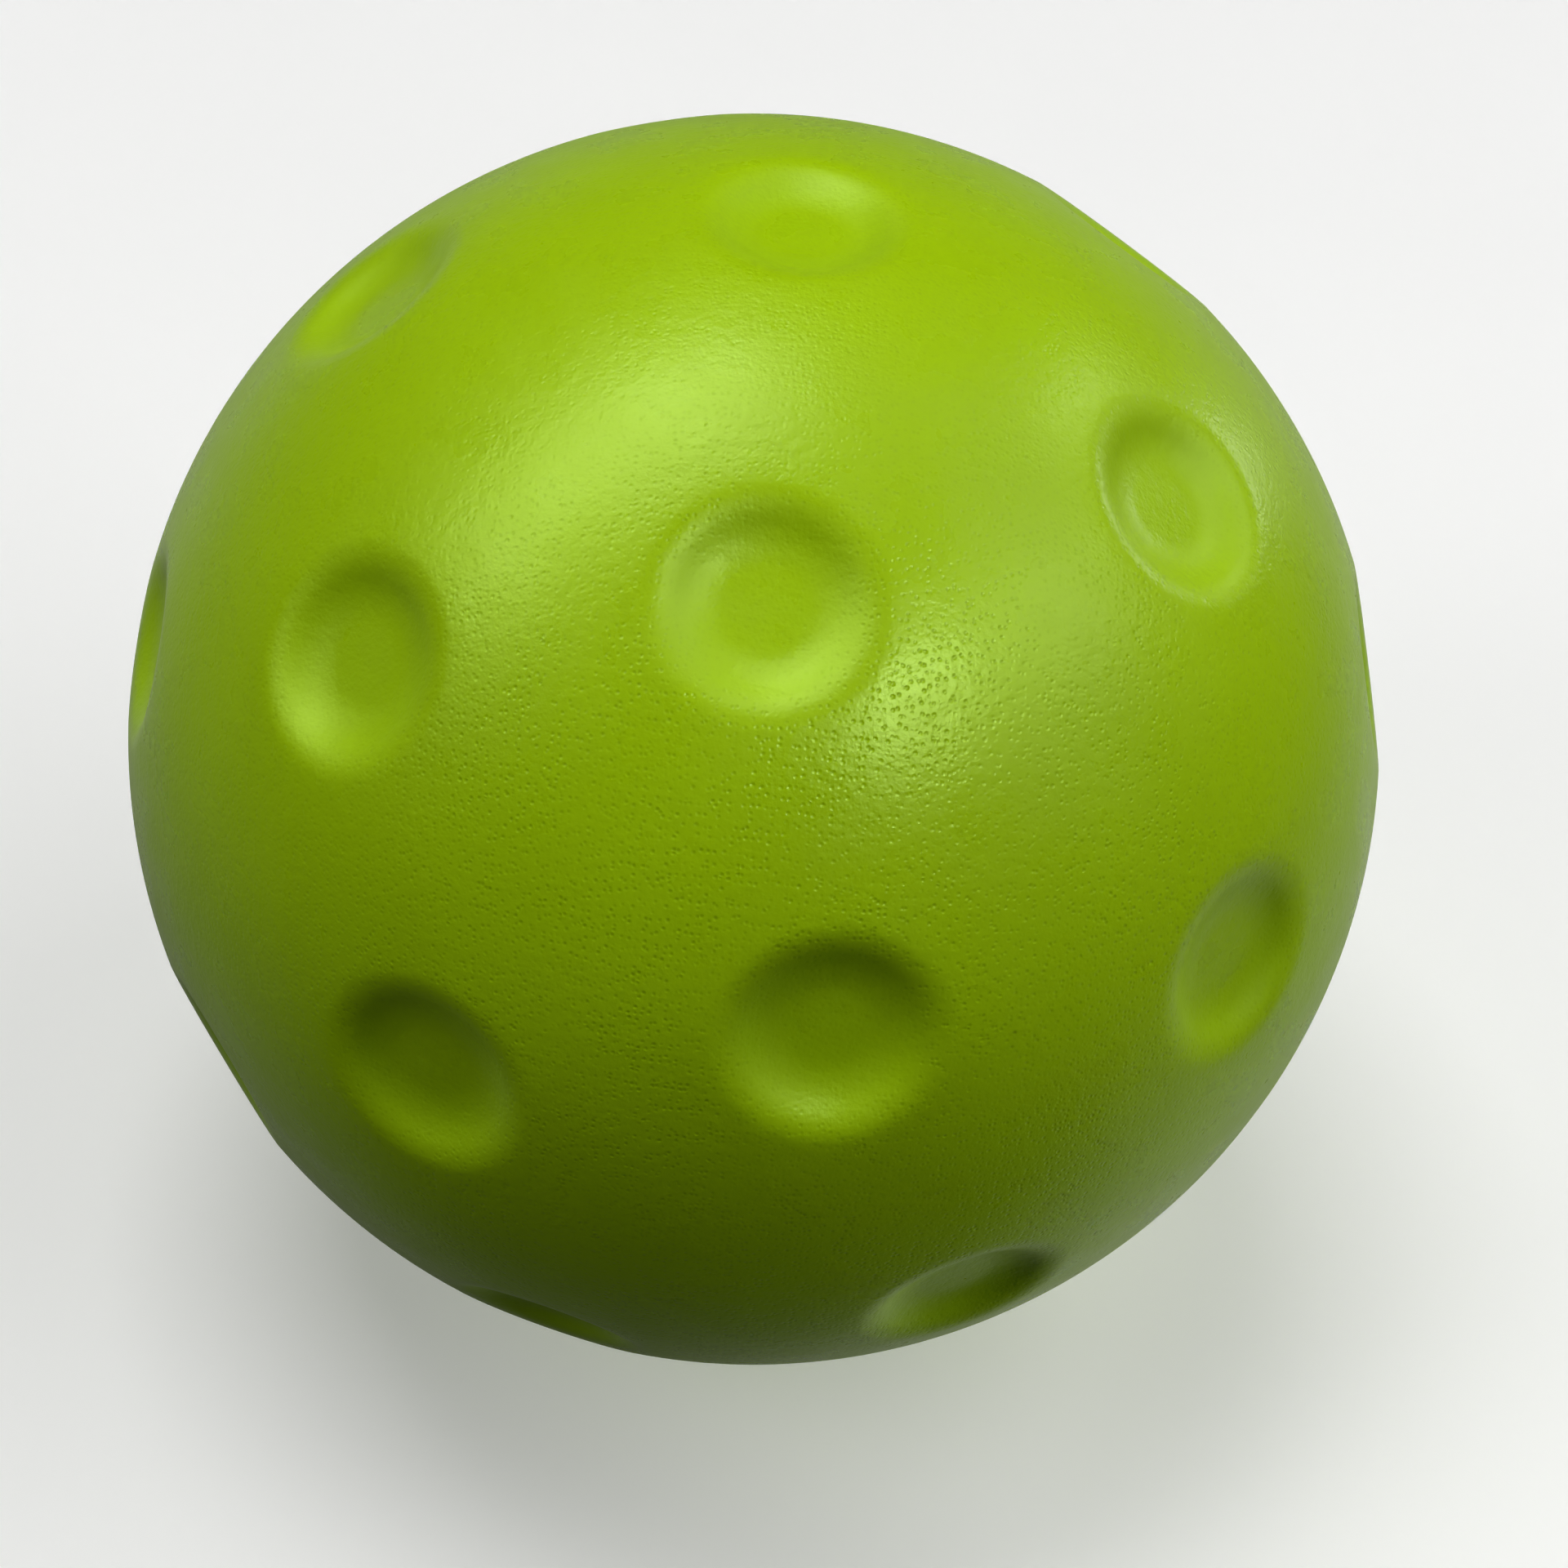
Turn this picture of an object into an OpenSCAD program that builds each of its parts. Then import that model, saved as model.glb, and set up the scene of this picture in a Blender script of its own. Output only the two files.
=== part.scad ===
// Foam pickleball: a ball of soft foam with a dense moulded skin and a pattern of round dimples.
// Millimetres, +Z up, with the origin at the centre of the ball.
// It stands as it settles on a table: on the rim of one dimple, with the opposite dimple straight up.

/* [Ball] */
// Outer diameter of the ball
ball_d = 74; // [70:0.5:78]
// Thickness of the dense skin, the same over the ball and down into the dimples
skin_t = 0.8; // [0.5:0.1:1.1]

/* [Dimple] */
// Diameter of the rim, where the rounded lip leaves the ball's surface
dimple_d = 12.2; // [11:0.1:13.4]
// Depth of the flat floor below the plane of the rim
dimple_depth = 0.95; // [0.85:0.05:1.3]
// Slope of the wall between its two rounds, in degrees
wall_slope = 25; // [20:0.5:27]
// Radius of the rounded lip
lip_r = 3.2; // [2.4:0.1:3.8]
// Radius of the hollow round between the wall and the floor
corner_r = 5.2; // [4:0.1:6.2]
// Angle of the faint edge where the lip meets the ball's surface, in degrees
lip_edge = 3; // [3:0.5:8]

/* [Pattern] */
// Dimples in the ring round each pole of the pattern
pole_count = 4; // [3:1:5]
// Dimples in the ring on the equator, and in the ring on each side of it
band_count = 8; // [6:2:10]
// Angle from a pole to the ring round it, in degrees
pole_ring_angle = 24; // [20:0.5:28]
// Angle from a pole to the ring between the pole ring and the equator, in degrees
side_ring_angle = 58.5; // [54:0.5:63]
// Turn of the whole ball about the vertical, in degrees
spin = -104.4; // [-180:0.1:180]

/* [Hidden] */
$fn = 96;

ball_r = ball_d / 2;
// Angle from a dimple's axis to its rim, seen from the ball's centre
rim_angle = asin(dimple_d / ball_d);
// Heights of the rim's plane and of the floor along the dimple's axis
rim_z = ball_r * cos(rim_angle);
floor_z = rim_z - dimple_depth;

// The section of a dimple is drawn in the plane [distance from its axis, height along it].
// Centre of the lip's arc, which lies inside the foam
lip_start = rim_angle - lip_edge;
lip_centre = [dimple_d / 2, rim_z] - lip_r * [sin(lip_start), cos(lip_start)];
// Length of the straight wall between the lip's arc and the corner's arc
rounds_drop = lip_r * (cos(lip_start) - cos(wall_slope)) + corner_r * (1 - cos(wall_slope));
wall_len = (dimple_depth - rounds_drop) / sin(wall_slope);
// Centre of the corner's arc, which lies in the open dimple
rounds_run = (lip_r + corner_r) * sin(wall_slope);
corner_centre = [lip_centre.x - rounds_run - wall_len * cos(wall_slope), floor_z + corner_r];
// Sweep of the lip's arc, from the wall to just past the ball's surface
lip_sweep = wall_slope + atan2(lip_centre.x, lip_centre.y);
// Height of a cut above the floor, which takes it past the ball's surface
cut_over = 1;
cut_h = ball_r - floor_z + cut_over;

// Angle between neighbours on the equator, and in the rings beside it
band_step = 360 / band_count;
// Rings from the upper pole to the lower: [angle from the upper pole, dimples, place of the first]
rings = [
    [pole_ring_angle, pole_count, 0],
    [side_ring_angle, band_count, band_step / 2],
    [90, band_count, 0],
    [180 - side_ring_angle, band_count, band_step / 2],
    [180 - pole_ring_angle, pole_count, 0]
];

// Half section of one dimple, with its faces moved inset into the foam.
module dimple_section(inset) {
    lip = lip_r - inset;
    corner = corner_r + inset;
    reach = cut_h + inset;
    lip_place = [wall_len, -corner - lip];
    difference() {
        union() {
            // Floor, from the axis to the corner
            translate([0, floor_z - inset]) square([corner_centre.x, reach]);
            // Hollow round, up to the axis
            intersection() {
                translate(corner_centre) circle(corner);
                square(ball_d);
            }
            // Wall, and the fan that opens over the lip
            along_wall() translate([0, -corner]) square([wall_len, reach]);
            along_wall() translate(lip_place) fan(lip + reach, lip_sweep);
        }
        along_wall() translate(lip_place) circle(lip);
    }
}

// Places a shape from the corner's centre, with its X up along the wall.
module along_wall() {
    translate(corner_centre) rotate(wall_slope) children();
}

// Triangle that opens from the origin, from +Y towards +X.
module fan(r, sweep) {
    polygon([[0, 0], [0, r], r * [sin(sweep), cos(sweep)]]);
}

module dimple(inset) {
    rotate_extrude() dimple_section(inset);
}

module ring_of_dimples(ring, inset) {
    polar = ring[0];
    count = ring[1];
    first = ring[2];
    for (i = [0 : count - 1]) rotate([0, polar, first + i * 360 / count]) dimple(inset);
}

// Plain ball with the first rings of dimples pressed into it, one ring after another.
module ball_with_rings(ring_count, inset) {
    if (ring_count == 0) sphere(ball_r - inset);
    else difference() {
        ball_with_rings(ring_count - 1, inset);
        ring_of_dimples(rings[ring_count - 1], inset);
    }
}

// The whole dimpled ball, with its surface moved inset into the foam.
// It is leaned over from the pattern's pole so that one dimple of a side ring points straight up.
module dimpled_ball(inset) {
    rotate([0, 0, spin])
        rotate([0, side_ring_angle, 0])
            rotate([0, 0, 180 - band_step / 2])
                ball_with_rings(len(rings), inset);
}

// Dense outer skin, formed where the foam met the mould.
module skin() {
    color([0.56, 0.72, 0.06]) difference() {
        dimpled_ball(0);
        dimpled_ball(skin_t);
    }
}

// Light cellular foam that fills the skin and is one with it.
module foam_core() {
    color([0.66, 0.78, 0.26]) dimpled_ball(skin_t);
}

skin();
foam_core();
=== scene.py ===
# Foam pickleball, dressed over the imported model: a dense moulded skin with round dimples, and its foam core.
# Metres, +Z up, with the origin at the centre of the ball.
import math

import bpy
import numpy as np
from mathutils import Matrix, Vector, geometry


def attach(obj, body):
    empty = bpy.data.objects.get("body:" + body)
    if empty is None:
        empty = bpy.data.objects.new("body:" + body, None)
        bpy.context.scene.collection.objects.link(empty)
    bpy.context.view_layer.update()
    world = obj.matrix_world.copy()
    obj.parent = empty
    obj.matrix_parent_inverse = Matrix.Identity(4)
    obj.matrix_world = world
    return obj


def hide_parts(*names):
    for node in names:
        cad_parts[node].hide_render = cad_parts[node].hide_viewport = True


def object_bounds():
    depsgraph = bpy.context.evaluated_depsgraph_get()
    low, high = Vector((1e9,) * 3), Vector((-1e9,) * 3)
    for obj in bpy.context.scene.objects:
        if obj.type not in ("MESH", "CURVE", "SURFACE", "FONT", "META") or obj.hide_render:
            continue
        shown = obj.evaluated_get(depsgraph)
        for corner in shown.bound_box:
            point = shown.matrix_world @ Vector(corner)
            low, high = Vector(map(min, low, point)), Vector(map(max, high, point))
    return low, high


MM = 0.001

# Ball and dimples, as in the part's source
BALL_R = 37 * MM
SKIN_T = 0.8 * MM
DIMPLE_R = 6.1 * MM
DIMPLE_DEPTH = 0.95 * MM
WALL_SLOPE = math.radians(25)
LIP_R = 3.2 * MM
CORNER_R = 5.2 * MM
LIP_EDGE = math.radians(3)

# Pattern: a ring of dimples round each pole, one on the equator, and one on each side of it
POLE_COUNT = 4
BAND_COUNT = 8
POLE_RING_ANGLE = math.radians(24)
SIDE_RING_ANGLE = math.radians(58.5)
SPIN = math.radians(-104.4)

# Fineness of a mesh: points round a dimple, and the space between points on the plain skin
OUTER_SEGMENTS = 84
OUTER_SPACING = 0.8 * MM
INNER_SEGMENTS = 24
INNER_SPACING = 1.8 * MM
# Steps across each stretch of a dimple's section
FLOOR_STEPS = 3
CORNER_STEPS = 8
WALL_STEPS = 2
LIP_STEPS = 7

# Camera, from where the ball lies in the photograph
PHOTO_PX = 1920
BALL_CENTRE_PX = (925.1, 908.1)
BALL_RADIUS_PX = 765.9
CAMERA_DISTANCE = 4.2 * BALL_R
CAMERA_AZIMUTH = 0.8
CAMERA_ELEVATION = 42.7
CAMERA_ROLL = math.radians(5.4)
SENSOR_MM = 36

# Distance of each light's ends from the ball's centre, in metres
LIGHT_DISTANCE = 0.8

# Paper under and behind the ball: flat floor, bend and wall, in metres
PAPER_FLAT_R = 0.9
PAPER_BEND_R = 0.6
PAPER_WALL_H = 3
PAPER_SEGMENTS = 96
PAPER_STEPS = 16
# Distances from the ball between which the paper's glow grows, and its strength at each
PAPER_GLOW_REACH = (0.1, 1.0)
PAPER_GLOW = (0.25, 0.85)

# Skin's marks: the space between pores, the size of other marks, and the depth of their relief
PORE_SPACING = 0.34 * MM
PORE_DEPTH = 0.024 * MM
PORE_PATCH = 5 * MM
PEEL_SIZE = 0.6 * MM
PEEL_DEPTH = 0.03 * MM
GRAIN_SIZE = 0.2 * MM
GRAIN_DEPTH = 0.013 * MM
MOTTLE_SIZE = 6 * MM
SHEEN_PATCH = 3 * MM
# Core's marks, in the same way
CELL_SPACING = 0.9 * MM
CELL_DEPTH = 0.2 * MM
FOAM_SIZE = 0.3 * MM
FOAM_DEPTH = 0.04 * MM

# Part of a cell of the UV map, on each side of its middle, that a side of the cube fills
ATLAS_SHARE = 0.47
# Points nearer than this in the flat picture of the skin count as one
SAME_POINT = 1e-7
# Light from all round, beside that of the cards
DIM_GLOW = 0.01


def dimple_axes():
    """Unit vectors from the ball's centre through the middle of every dimple."""
    step = math.tau / BAND_COUNT
    rings = [
        (POLE_RING_ANGLE, POLE_COUNT, 0),
        (SIDE_RING_ANGLE, BAND_COUNT, step / 2),
        (math.pi / 2, BAND_COUNT, 0),
        (math.pi - SIDE_RING_ANGLE, BAND_COUNT, step / 2),
        (math.pi - POLE_RING_ANGLE, POLE_COUNT, 0),
    ]
    lean = Matrix.Rotation(SIDE_RING_ANGLE, 3, "Y") @ Matrix.Rotation(math.pi - step / 2, 3, "Z")
    place = Matrix.Rotation(SPIN, 3, "Z") @ lean
    axes = []
    for polar, count, first in rings:
        for i in range(count):
            turn = first + i * math.tau / count
            around = Vector((math.cos(turn), math.sin(turn), 0))
            axes.append(place @ (around * math.sin(polar) + Vector((0, 0, math.cos(polar)))))
    return np.array(axes)


def arc(centre, radius, start, end, steps):
    """Points on an arc, with angles from straight up towards the rim, without the first point."""
    angles = np.linspace(start, end, steps + 1)[1:]
    return np.column_stack([centre[0] + radius * np.sin(angles), centre[1] + radius * np.cos(angles)])


def dimple_section(inset):
    """Half section of a dimple, from the middle of its floor to its rim: [distance from its axis, height]."""
    rim_angle = math.asin(DIMPLE_R / BALL_R)
    rim_z = BALL_R * math.cos(rim_angle)
    floor_z = rim_z - DIMPLE_DEPTH
    lip_start = rim_angle - LIP_EDGE
    lip_centre = (DIMPLE_R - LIP_R * math.sin(lip_start), rim_z - LIP_R * math.cos(lip_start))
    lip_drop = LIP_R * (math.cos(lip_start) - math.cos(WALL_SLOPE))
    corner_drop = CORNER_R * (1 - math.cos(WALL_SLOPE))
    wall_len = (DIMPLE_DEPTH - lip_drop - corner_drop) / math.sin(WALL_SLOPE)
    rounds_run = (LIP_R + CORNER_R) * math.sin(WALL_SLOPE)
    corner_x = lip_centre[0] - rounds_run - wall_len * math.cos(WALL_SLOPE)
    corner_centre = (corner_x, floor_z + CORNER_R)
    floor_x = np.linspace(0, corner_x, FLOOR_STEPS + 1)
    floor = np.column_stack([floor_x, np.full_like(floor_x, floor_z - inset)])
    corner = arc(corner_centre, CORNER_R + inset, math.pi, math.pi - WALL_SLOPE, CORNER_STEPS)
    lip = arc(lip_centre, LIP_R - inset, -WALL_SLOPE, lip_start, LIP_STEPS)
    lip_foot = arc(lip_centre, LIP_R - inset, 0, -WALL_SLOPE, 1)[0]
    wall = np.linspace(corner[-1], lip_foot, WALL_STEPS + 1)[1:]
    return np.vstack([floor, corner, wall, lip])


def across(axis):
    """Two unit vectors square to an axis and to each other, the second a quarter turn on about the axis."""
    side = np.cross(axis, (0.0, 0.0, 1.0) if abs(axis[2]) < 0.9 else (1.0, 0.0, 0.0))
    side /= np.linalg.norm(side)
    return side, np.cross(axis, side)


def dimple_patch(axis, section, segments):
    """Vertices and faces of one dimple, whose last ring of vertices is its rim."""
    side, ahead = across(axis)
    turns = np.arange(segments) * math.tau / segments
    spokes = np.outer(np.cos(turns), side) + np.outer(np.sin(turns), ahead)
    rings = [rho * spokes + z * axis for rho, z in section[1:]]
    verts = np.vstack([[section[0][1] * axis]] + rings)
    faces = []
    for i in range(segments):
        j = (i + 1) % segments
        faces.append((0, 1 + i, 1 + j))
        for ring in range(len(rings) - 1):
            inner = 1 + ring * segments
            outer = inner + segments
            faces.append((inner + i, outer + i, outer + j, inner + j))
    return verts, faces


def even_directions(count):
    """Directions spread evenly over the sphere on a golden spiral."""
    golden = math.pi * (3 - math.sqrt(5))
    i = np.arange(count)
    z = 1 - (2 * i + 1) / count
    radius = np.sqrt(1 - z * z)
    return np.column_stack([radius * np.cos(golden * i), radius * np.sin(golden * i), z])


def plain_directions(axes, clear_angle, spacing, radius):
    """Evenly spread directions that keep a clear angle from the axis of every dimple."""
    cell = spacing * spacing * math.sqrt(3) / 2
    spread = even_directions(int(4 * math.pi * radius * radius / cell))
    nearest = np.max(spread @ axes.T, axis=1)
    return spread[nearest < math.cos(clear_angle)]


def join_round(points, pole):
    """Triangles that join points on a sphere, from their flat picture as seen from the pole."""
    unit = points / np.linalg.norm(points, axis=1, keepdims=True)
    side, ahead = across(pole)
    spread = 1 - unit @ pole
    flat = [Vector(p) for p in np.column_stack([unit @ side / spread, unit @ ahead / spread])]
    whole_hull = 0
    _, _, triangles, origins, _, _ = geometry.delaunay_2d_cdt(flat, [], [], whole_hull, SAME_POINT, True)
    triangles = np.array([[origins[v][0] for v in t] for t in triangles])
    a, b, c = (points[triangles[:, k]] for k in range(3))
    inward = np.einsum("ij,ij->i", np.cross(b - a, c - a), a) < 0
    triangles[inward] = triangles[inward][:, ::-1]
    return triangles


def dimpled_surface(inset, segments, spacing):
    """Vertices and faces of the whole dimpled ball, with its surface moved inset into the foam."""
    axes = dimple_axes()
    section = dimple_section(inset)
    radius = BALL_R - inset
    verts = []
    faces = []
    rim_index = []
    for axis in axes:
        patch, patch_faces = dimple_patch(axis, section, segments)
        first = len(verts) * len(patch)
        verts.append(patch)
        faces += [tuple(first + v for v in face) for face in patch_faces]
        rim_index.append(first + len(patch) - segments + np.arange(segments))
    verts = np.vstack(verts)
    rim_index = np.concatenate(rim_index)
    rim_angle = math.atan2(*section[-1])
    plain = radius * plain_directions(axes, rim_angle + spacing / radius / 2, spacing, radius)
    index = np.concatenate([rim_index, len(verts) + np.arange(len(plain))])
    owner = np.concatenate([np.repeat(np.arange(len(axes)), segments), np.full(len(plain), -1)])
    verts = np.vstack([verts, plain])
    triangles = join_round(verts[index], axes[-1])
    dimple = owner[triangles]
    inside = (dimple[:, 0] >= 0) & (dimple[:, 0] == dimple[:, 1]) & (dimple[:, 0] == dimple[:, 2])
    faces += [tuple(t) for t in index[triangles[~inside]]]
    return verts, faces


def shell(outer, inner):
    """One closed shell: an outer surface, and an inner one that faces the other way."""
    verts = np.vstack([outer[0], inner[0]])
    first = len(outer[0])
    faces = outer[1] + [tuple(first + v for v in reversed(face)) for face in inner[1]]
    return verts, faces


def add_atlas(mesh):
    """A UV map with the six sides of a cube round the ball laid out in three columns and two rows."""
    centres = np.zeros(3 * len(mesh.polygons))
    mesh.polygons.foreach_get("center", centres)
    centres = centres.reshape(-1, 3)
    totals = np.zeros(len(mesh.polygons), dtype=int)
    mesh.polygons.foreach_get("loop_total", totals)
    corner_vert = np.zeros(len(mesh.loops), dtype=int)
    mesh.loops.foreach_get("vertex_index", corner_vert)
    places = np.zeros(3 * len(mesh.vertices))
    mesh.vertices.foreach_get("co", places)
    corner = places.reshape(-1, 3)[corner_vert]
    main = np.repeat(np.argmax(np.abs(centres), axis=1), totals)
    rows = np.arange(len(corner))
    height = corner[rows, main]
    along = corner[rows, (main + 1) % 3] / np.abs(height)
    up = corner[rows, (main + 2) % 3] / np.abs(height)
    eighth = math.pi / 4
    u = (main + 0.5 + ATLAS_SHARE * np.arctan(along) / eighth) / 3
    v = (np.where(height > 0, 1, 0) + 0.5 + ATLAS_SHARE * np.arctan(up) / eighth) / 2
    layer = mesh.uv_layers.new(name="atlas")
    layer.data.foreach_set("uv", np.column_stack([u, v]).ravel())


def add_piece(name, surface, node, material):
    """A smooth mesh that stands for a CAD node and rides with the ball."""
    verts, faces = surface
    mesh = bpy.data.meshes.new(name)
    mesh.from_pydata(verts.tolist(), [], faces)
    mesh.shade_smooth()
    add_atlas(mesh)
    mesh.materials.append(material)
    piece = bpy.data.objects.new(name, mesh)
    bpy.context.collection.objects.link(piece)
    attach(piece, "root")
    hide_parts(node)


class Shader:
    """A material's node tree, with short calls to add and link its nodes."""

    def __init__(self, name):
        self.material = bpy.data.materials.new(name)
        self.material.use_nodes = True
        self.tree = self.material.node_tree
        self.surface = self.tree.nodes["Principled BSDF"]
        self.place = self.add("ShaderNodeTexCoord").outputs["Object"]

    def add(self, kind, **settings):
        """A new node of a kind, with its settings."""
        node = self.tree.nodes.new(kind)
        for key, value in settings.items():
            setattr(node, key, value)
        return node

    def feed(self, socket, value):
        """Links a socket to another, or sets it to a plain value."""
        if isinstance(value, bpy.types.NodeSocket):
            self.tree.links.new(value, socket)
        else:
            socket.default_value = value

    def math(self, operation, a, b):
        """The result of an operation on two values or sockets."""
        node = self.add("ShaderNodeMath", operation=operation)
        self.feed(node.inputs[0], a)
        self.feed(node.inputs[1], b)
        return node.outputs[0]

    def noise(self, size, detail=2.0):
        """Smooth noise from 0 to 1, with blobs of about the given size."""
        node = self.add("ShaderNodeTexNoise")
        self.feed(node.inputs["Vector"], self.place)
        self.feed(node.inputs["Scale"], 1 / size)
        self.feed(node.inputs["Detail"], detail)
        return node.outputs["Fac"]

    def cells(self, size, randomness=1.0):
        """Distance from the nearest of many scattered points, in units of the space between them."""
        node = self.add("ShaderNodeTexVoronoi")
        self.feed(node.inputs["Vector"], self.place)
        self.feed(node.inputs["Scale"], 1 / size)
        self.feed(node.inputs["Randomness"], randomness)
        return node.outputs["Distance"]

    def radius(self):
        """Distance of a place from the ball's centre."""
        node = self.add("ShaderNodeVectorMath", operation="LENGTH")
        self.feed(node.inputs[0], self.place)
        return node.outputs["Value"]

    def towards(self, direction):
        """How far a place lies towards a direction: 1 where the ball faces it, -1 on the far side."""
        node = self.add("ShaderNodeVectorMath", operation="DOT_PRODUCT")
        self.feed(node.inputs[0], self.place)
        self.feed(node.inputs[1], direction / BALL_R)
        return node.outputs["Value"]

    def by_depth(self, deep, shallow, at_deep, at_shallow):
        """Goes from at_deep to at_shallow between two depths below the ball's round surface."""
        return self.remap(self.radius(), BALL_R - deep, BALL_R - shallow, at_deep, at_shallow)

    def remap(self, value, low, high, to_low, to_high):
        """Maps low..high to to_low..to_high on a smooth step."""
        node = self.add("ShaderNodeMapRange", interpolation_type="SMOOTHSTEP")
        self.feed(node.inputs["Value"], value)
        self.feed(node.inputs["From Min"], low)
        self.feed(node.inputs["From Max"], high)
        self.feed(node.inputs["To Min"], to_low)
        self.feed(node.inputs["To Max"], to_high)
        return node.outputs["Result"]

    def mix(self, factor, a, b):
        """Colour a where the factor is 0, and b where it is 1."""
        node = self.add("ShaderNodeMix", data_type="RGBA")
        self.feed(node.inputs["Factor"], factor)
        self.feed(node.inputs["A"], a)
        self.feed(node.inputs["B"], b)
        return next(socket for socket in node.outputs if socket.type == "RGBA")

    def bump(self, height, distance, normal=None):
        """Relief of the given depth, over another relief where one is given."""
        node = self.add("ShaderNodeBump")
        self.feed(node.inputs["Height"], height)
        self.feed(node.inputs["Distance"], distance)
        self.feed(node.inputs["Strength"], 1.0)
        if normal is not None:
            self.feed(node.inputs["Normal"], normal)
        return node.outputs["Normal"]

    def finish(self, **inputs):
        """The material, with the given inputs of its surface set or linked."""
        for key, value in inputs.items():
            self.feed(self.surface.inputs[key.replace("_", " ")], value)
        return self.material


def skin_material():
    """Satin moulded foam skin: lime green, with pores darkened by painted shade, fine grain, mottling and
    duller dimple walls.
    """
    s = Shader("foam skin")
    lime = (0.39, 0.63, 0.002, 1)
    deep = (0.375, 0.605, 0.001, 1)
    painted_pore_shade = (0.22, 0.38, 0.001, 1)
    sheen = (0.72, 1, 0.36, 1)
    # Pores come in patches, and are fainter away from the front and down in the dimples
    pore = s.remap(s.cells(PORE_SPACING, randomness=0.65), 0.0, 0.47, 1.0, 0.0)
    pore = s.math("MULTIPLY", pore, s.remap(s.noise(PORE_PATCH), 0.3, 0.6, 0.55, 1.0))
    pore = s.math("MULTIPLY", pore, s.remap(s.towards(bearing(8, 20)), 0.6, 0.9, 0.45, 1.0))
    pore = s.math("MULTIPLY", pore, s.by_depth(0.8 * MM, 0.1 * MM, 0.4, 1.0))
    grain = s.noise(GRAIN_SIZE, detail=3)
    peel = s.noise(PEEL_SIZE, detail=2)
    colour = s.mix(s.remap(s.noise(MOTTLE_SIZE, detail=3), 0.3, 0.7, 0.0, 1.0), lime, deep)
    # Painted shade: the colour darkens inside each pore, where its hollow is shaded
    colour = s.mix(s.math("MULTIPLY", pore, 0.36), colour, painted_pore_shade)
    relief = s.bump(peel, PEEL_DEPTH)
    relief = s.bump(grain, GRAIN_DEPTH, normal=relief)
    relief = s.bump(s.math("SUBTRACT", 1.0, pore), PORE_DEPTH, normal=relief)
    # A dimple's wall, between its floor and the top of its lip, is duller than the rest
    wall = s.by_depth(1.42 * MM, 1.22 * MM, 0.0, 1.0)
    wall = s.math("MULTIPLY", wall, s.by_depth(0.3 * MM, 0.05 * MM, 1.0, 0.0))
    roughness = s.remap(s.noise(SHEEN_PATCH, detail=4), 0.25, 0.75, 0.25, 0.33)
    roughness = s.math("ADD", roughness, s.math("MULTIPLY", wall, 0.1))
    s.surface.inputs["Specular Tint"].default_value = sheen
    return s.finish(Base_Color=colour, Roughness=roughness, Normal=relief)


def core_material():
    """Foam under the skin: paler, matt, with scattered round cells whose hollows carry painted shade."""
    s = Shader("foam core")
    pale = (0.50, 0.66, 0.12, 1)
    # The darker colour below is painted shade that fills the hollow of each cell
    wall = (0.36, 0.52, 0.05, 1)
    open_cell = s.remap(s.cells(CELL_SPACING), 0.15, 0.55, 1.0, 0.0)
    colour = s.mix(open_cell, pale, wall)
    relief = s.bump(s.math("SUBTRACT", 1.0, open_cell), CELL_DEPTH)
    relief = s.bump(s.noise(FOAM_SIZE, detail=3), FOAM_DEPTH, normal=relief)
    return s.finish(Base_Color=colour, Roughness=0.85, Normal=relief)


def paper_material():
    """Plain pale paper, which glows more the farther it lies from the ball."""
    s = Shader("paper")
    grey = (0.78, 0.78, 0.77, 1)
    pale = (0.82, 0.82, 0.81, 1)
    white = (1, 1, 1, 1)
    colour = s.mix(s.noise(40 * MM, detail=4), grey, pale)
    glow = s.remap(s.radius(), *PAPER_GLOW_REACH, *PAPER_GLOW)
    s.surface.inputs["Emission Color"].default_value = white
    return s.finish(Base_Color=colour, Roughness=0.9, Emission_Strength=glow)


def add_floor(height):
    """Pale paper floor that curves up into a wall all round, and is kept from lighting the ball."""
    bend = np.linspace(0, math.pi / 2, PAPER_STEPS)
    reach = PAPER_FLAT_R + PAPER_BEND_R * np.sin(bend)
    lift = height + PAPER_BEND_R * (1 - np.cos(bend))
    rings = list(zip(reach, lift)) + [(reach[-1], height + PAPER_WALL_H)]
    turns = np.arange(PAPER_SEGMENTS) * math.tau / PAPER_SEGMENTS
    verts = [(0, 0, height)]
    for radius, z in rings:
        verts += [(radius * math.cos(t), radius * math.sin(t), z) for t in turns]
    faces = []
    for i in range(PAPER_SEGMENTS):
        j = (i + 1) % PAPER_SEGMENTS
        faces.append((0, 1 + i, 1 + j))
        for ring in range(len(rings) - 1):
            low = 1 + ring * PAPER_SEGMENTS
            high = low + PAPER_SEGMENTS
            faces.append((low + i, high + i, high + j, low + j))
    mesh = bpy.data.meshes.new("floor")
    mesh.from_pydata(verts, [], faces)
    mesh.shade_smooth()
    mesh.materials.append(paper_material())
    floor = bpy.data.objects.new("floor", mesh)
    floor.visible_diffuse = False
    floor.visible_glossy = False
    floor.visible_shadow = False
    bpy.context.collection.objects.link(floor)


def bearing(azimuth, elevation):
    """Unit vector to a bearing in degrees: azimuth 0 is the camera's side, and 90 is +X."""
    turn = math.radians(azimuth)
    lift = math.radians(elevation)
    level = Vector((math.sin(turn), -math.cos(turn), 0)) * math.cos(lift)
    return level + Vector((0, 0, math.sin(lift)))


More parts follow.
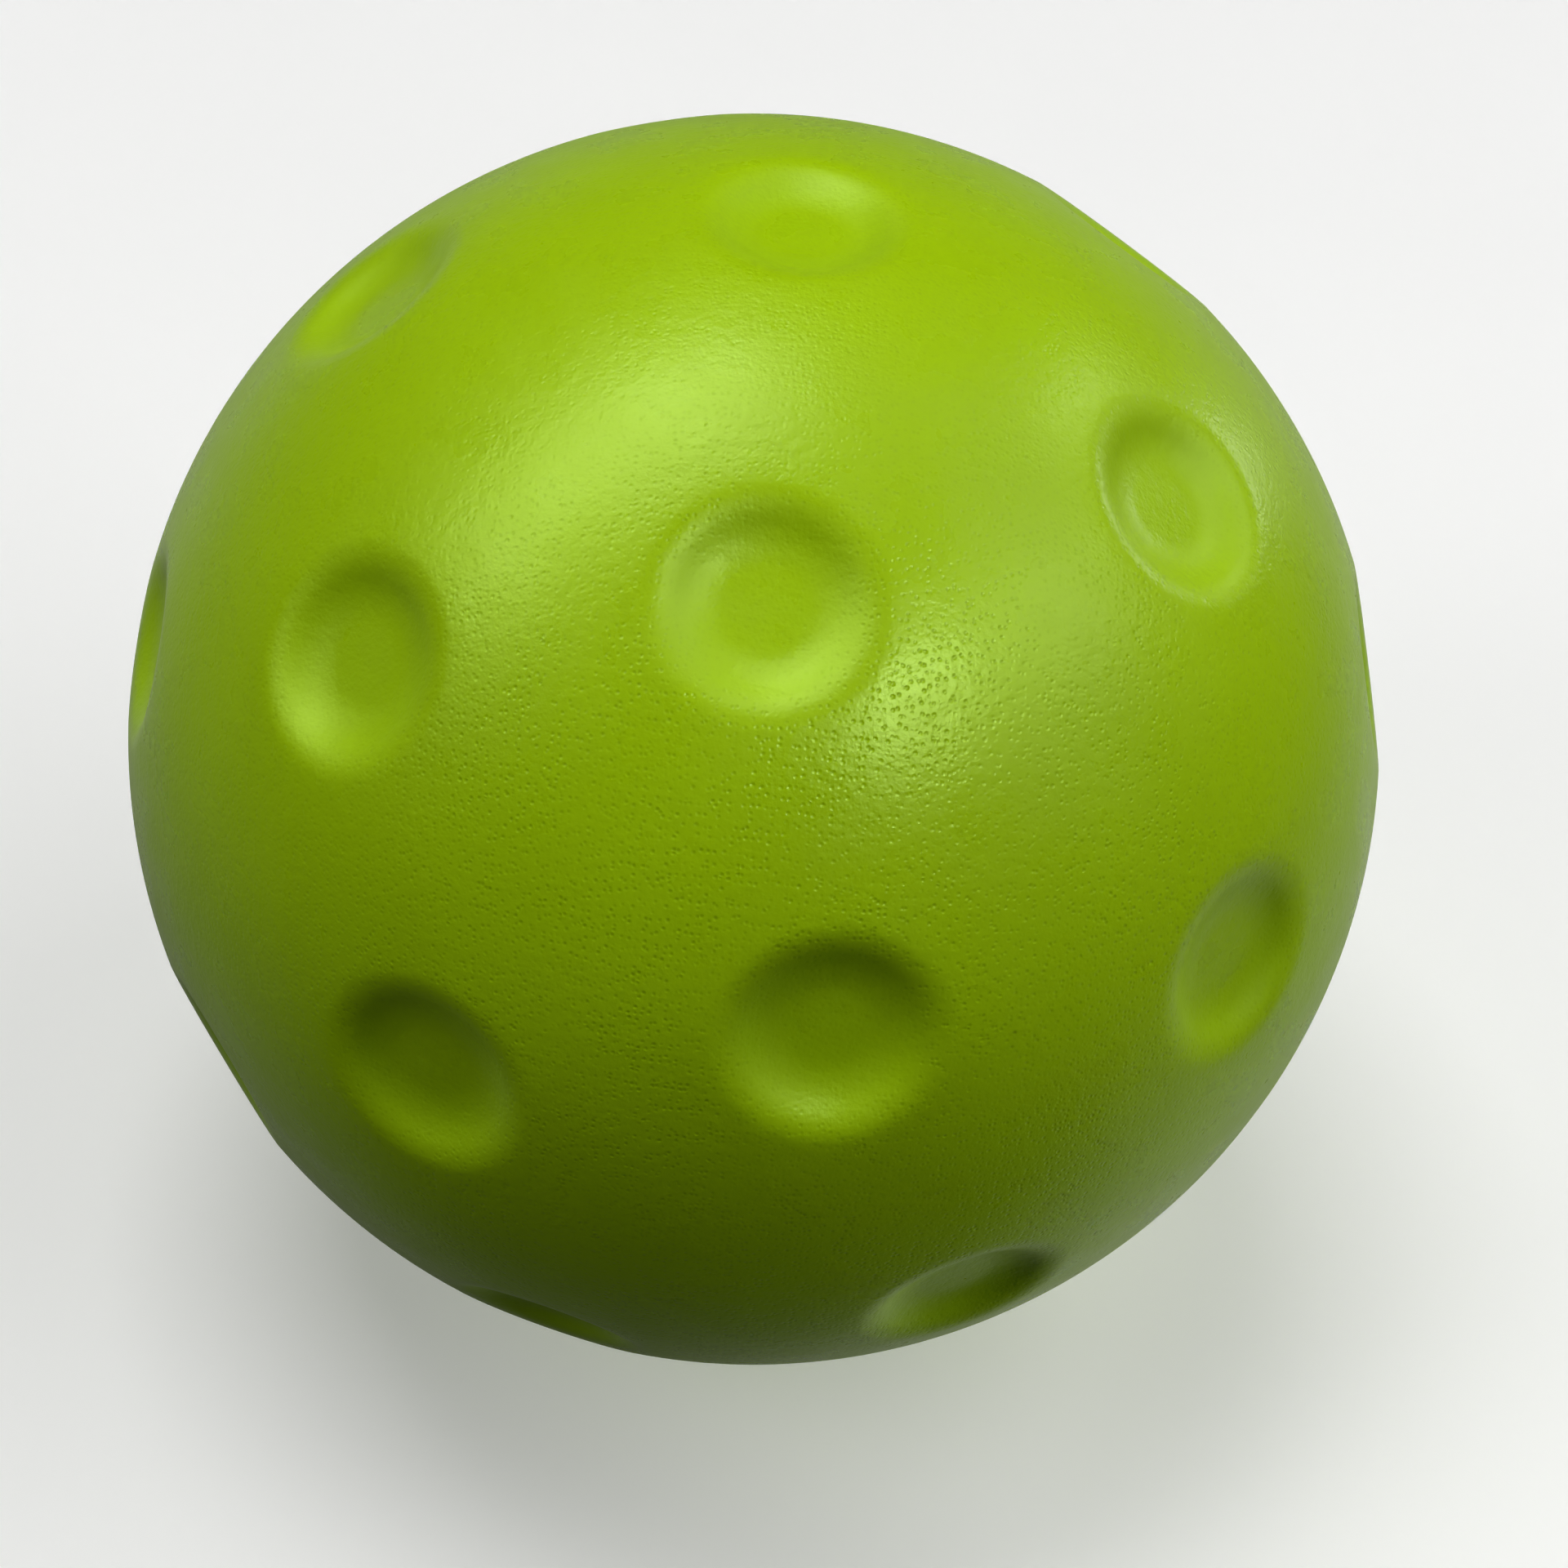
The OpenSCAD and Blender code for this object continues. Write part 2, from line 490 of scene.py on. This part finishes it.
def add_light(name, start, end, width, radiance, sheen_only=False):
    """Soft rectangular light that faces the ball, with its length between two bearings."""
    first = start * LIGHT_DISTANCE
    last = end * LIGHT_DISTANCE
    back = (first + last).normalized()
    along = (last - first).normalized()
    light = bpy.data.lights.new(name, "AREA")
    light.shape = "RECTANGLE"
    light.size = width
    light.size_y = (last - first).length
    light.energy = radiance * math.pi * light.size * light.size_y
    lamp = bpy.data.objects.new(name, light)
    turn = Matrix((along.cross(back), along, back)).transposed()
    lamp.matrix_world = Matrix.Translation((first + last) / 2) @ turn.to_4x4()
    lamp.visible_camera = False
    lamp.visible_diffuse = not sheen_only
    lamp.visible_glossy = sheen_only
    bpy.context.collection.objects.link(lamp)


def add_lights():
    """A key from above, fills on each side and from below, and five windows that only the sheen shows."""
    add_light("key", bearing(-90, 66), bearing(160, 80), 0.3, 7.7)
    add_light("left fill", bearing(-62, 22), bearing(-68, 45), 0.3, 3.6)
    add_light("right fill", bearing(62, 24), bearing(131, 58), 0.2, 4.8)
    add_light("low fill", bearing(80, -29), bearing(157, -70), 0.3, 2.1)
    add_light("left window", bearing(-72, 37), bearing(-175, 71), 0.25, 6, sheen_only=True)
    add_light("front window", bearing(27, 41), bearing(50, 51), 0.13, 19, sheen_only=True)
    add_light("far window", bearing(55, 50), bearing(98, 34), 0.25, 2.9, sheen_only=True)
    add_light("right window", bearing(119, 46), bearing(135, 29), 0.1, 4.5, sheen_only=True)
    add_light("low window", bearing(123, 13), bearing(134, 8), 0.08, 7, sheen_only=True)


def card(tree, towards, edge, full, brightness):
    """Brightness of a soft pale card, from its edge to full, by the cosine of the angle from its middle."""
    place = tree.nodes.new("ShaderNodeTexCoord").outputs["Generated"]
    facing = tree.nodes.new("ShaderNodeVectorMath")
    facing.operation = "DOT_PRODUCT"
    facing.inputs[1].default_value = towards
    tree.links.new(place, facing.inputs[0])
    fade = tree.nodes.new("ShaderNodeMapRange")
    fade.interpolation_type = "SMOOTHSTEP"
    fade.inputs["From Min"].default_value = edge
    fade.inputs["From Max"].default_value = full
    fade.inputs["To Max"].default_value = brightness
    tree.links.new(facing.outputs["Value"], fade.inputs["Value"])
    return fade.outputs["Result"]


def plus(tree, a, b):
    """The sum of a socket's value and either another socket's or a number."""
    total = tree.nodes.new("ShaderNodeMath")
    total.operation = "ADD"
    tree.links.new(a, total.inputs[0])
    if isinstance(b, bpy.types.NodeSocket):
        tree.links.new(b, total.inputs[1])
    else:
        total.inputs[1].default_value = b
    return total.outputs[0]


def add_world():
    """Dim surroundings with soft pale cards, which the skin mirrors along its edges."""
    # Each card's middle, the cosines at its edge and where it is full, and its brightness
    cards = [
        (bearing(180, -42), 0.34, 0.77, 0.07),
        (bearing(122, -47), 0.77, 0.98, 0.22),
        (bearing(-118, -30), 0.7, 0.95, 0.09),
        (bearing(154, -19), 0.85, 0.99, 0.22),
        (bearing(-150, -18), 0.82, 0.98, 0.15),
    ]
    world = bpy.data.worlds.new("studio")
    world.use_nodes = True
    tree = world.node_tree
    glow = card(tree, *cards[0])
    for each in cards[1:]:
        glow = plus(tree, glow, card(tree, *each))
    glow = plus(tree, glow, DIM_GLOW)
    tree.links.new(glow, tree.nodes["Background"].inputs["Strength"])
    tree.nodes["Background"].inputs["Color"].default_value = (1, 1, 1, 1)
    bpy.context.scene.world = world


def add_camera():
    """Camera of the photograph, aimed so that the ball lands where it does there."""
    focal_px = BALL_RADIUS_PX * math.sqrt((CAMERA_DISTANCE / BALL_R) ** 2 - 1)
    data = bpy.data.cameras.new("camera")
    data.sensor_width = SENSOR_MM
    data.lens = SENSOR_MM * focal_px / PHOTO_PX
    data.clip_start = 10 * MM
    back = bearing(CAMERA_AZIMUTH, CAMERA_ELEVATION)
    facing = back.to_track_quat("Z", "Y").to_matrix() @ Matrix.Rotation(CAMERA_ROLL, 3, "Z")
    off_x = BALL_CENTRE_PX[0] - PHOTO_PX / 2
    off_y = PHOTO_PX / 2 - BALL_CENTRE_PX[1]
    seen = Vector((off_x, off_y, -focal_px)).normalized()
    aim = seen.rotation_difference(Vector((0, 0, -1))).to_matrix()
    camera = bpy.data.objects.new("camera", data)
    camera.matrix_world = Matrix.Translation(back * CAMERA_DISTANCE) @ (facing @ aim).to_4x4()
    bpy.context.collection.objects.link(camera)
    bpy.context.scene.camera = camera


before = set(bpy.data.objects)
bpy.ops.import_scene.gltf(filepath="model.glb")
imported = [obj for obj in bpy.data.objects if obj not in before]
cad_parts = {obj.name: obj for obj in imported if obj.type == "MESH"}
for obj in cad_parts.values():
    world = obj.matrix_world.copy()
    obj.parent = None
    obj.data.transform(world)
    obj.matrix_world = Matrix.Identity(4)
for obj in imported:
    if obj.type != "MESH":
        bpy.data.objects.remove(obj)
cad_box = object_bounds()

add_camera()
outer = dimpled_surface(0, OUTER_SEGMENTS, OUTER_SPACING)
inner = dimpled_surface(SKIN_T, INNER_SEGMENTS, INNER_SPACING)
add_piece("ball_skin", shell(outer, inner), "skin", skin_material())
add_piece("ball_core", inner, "foam_core", core_material())
add_floor(cad_box[0][2])
add_lights()
add_world()
bpy.context.scene.view_settings.view_transform = "Standard"
